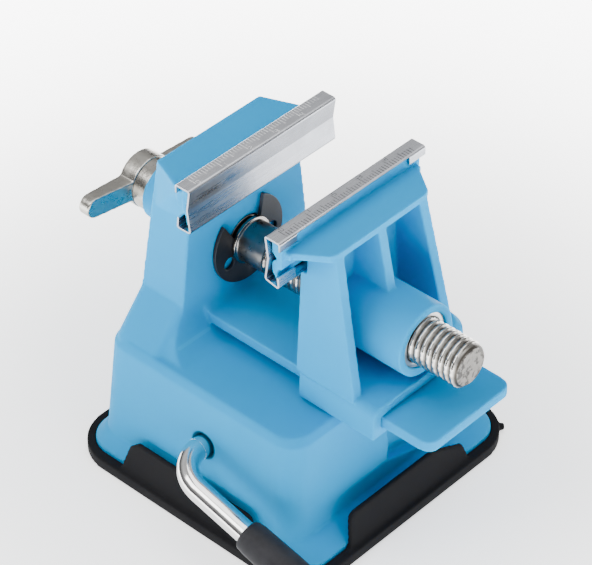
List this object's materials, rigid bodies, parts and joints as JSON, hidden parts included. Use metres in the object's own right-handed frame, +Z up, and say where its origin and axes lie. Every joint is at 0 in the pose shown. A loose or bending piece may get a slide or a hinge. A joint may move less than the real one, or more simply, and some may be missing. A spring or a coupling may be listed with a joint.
{
  "type": "bench vise",
  "caption": "Small plastic bench vise with metal jaw covers, lead screw, wing handle and a lever-locked suction foot.",
  "frame": {"origin": "on the table, under the centre of the square base", "axes": "+X along the lead screw towards its free end, +Y along the jaws away from the lever's arm, +Z up"},
  "size_m": [0.1224, 0.0997, 0.0993],
  "materials": {
    "blue_plastic": "satin",
    "jaw_sheet": "bright",
    "screw_nickel": "worn bright",
    "handle_nickel": "satin",
    "nut_steel": "satin",
    "clip_black": "black oxide",
    "rubber": "matte",
    "rod_nickel": "bright",
    "inner_steel": "zinc",
    "stem_white": "matte",
    "grip": "matte",
    "grip_plastic": "matte"
  },
  "bodies": {
    "base": {"base_body": "blue_plastic", "fixed_jaw_cover": "jaw_sheet", "suction_pad": "rubber", "return_spring": "inner_steel", "bridge_plate": "inner_steel", "bridge_screws": "inner_steel"},
    "screw": {"lead_screw": "screw_nickel", "wing_handle": "handle_nickel", "thrust_collar": "handle_nickel", "retaining_clip": "clip_black"},
    "jaw": {"moving_jaw": "blue_plastic", "moving_jaw_cover": "jaw_sheet", "jaw_nut": "nut_steel"},
    "lever": {"lever_rod": "rod_nickel", "lever_cam": "grip_plastic", "cam_pin": "inner_steel", "lever_grip": "grip", "push_nut": "inner_steel"},
    "lift": {"pad_plate": "inner_steel", "pull_stem": "stem_white", "stem_screw": "inner_steel"}
  },
  "joints": [
    {"name": "screw_turn", "type": "hinge", "parent": "base", "child": "screw", "pos_m": [0, 0, 0.0643], "axis": [1, 0, 0], "range_deg": [-2430, 4680]},
    {"name": "jaw_slide", "type": "slide", "parent": "base", "child": "jaw", "axis": [1, 0, 0], "range_m": [-0.026, 0.0135]},
    {"name": "lever_turn", "type": "hinge", "parent": "base", "child": "lever", "pos_m": [0.0015, 0, 0.0246], "axis": [0, -1, 0], "range_deg": [0, 180]},
    {"name": "pad_lift", "type": "slide", "parent": "base", "child": "lift", "axis": [0, 0, 1], "range_m": [-0.00305, 0], "deforming": ["suction_pad", "return_spring"]}
  ],
  "couplings": [
    {"joint": "jaw_slide", "follows": "screw_turn", "m_per_rad": -0.00031831},
    {"joint": "pad_lift", "follows": "lever_turn", "m_per_rad": -0.00095493}
  ]
}
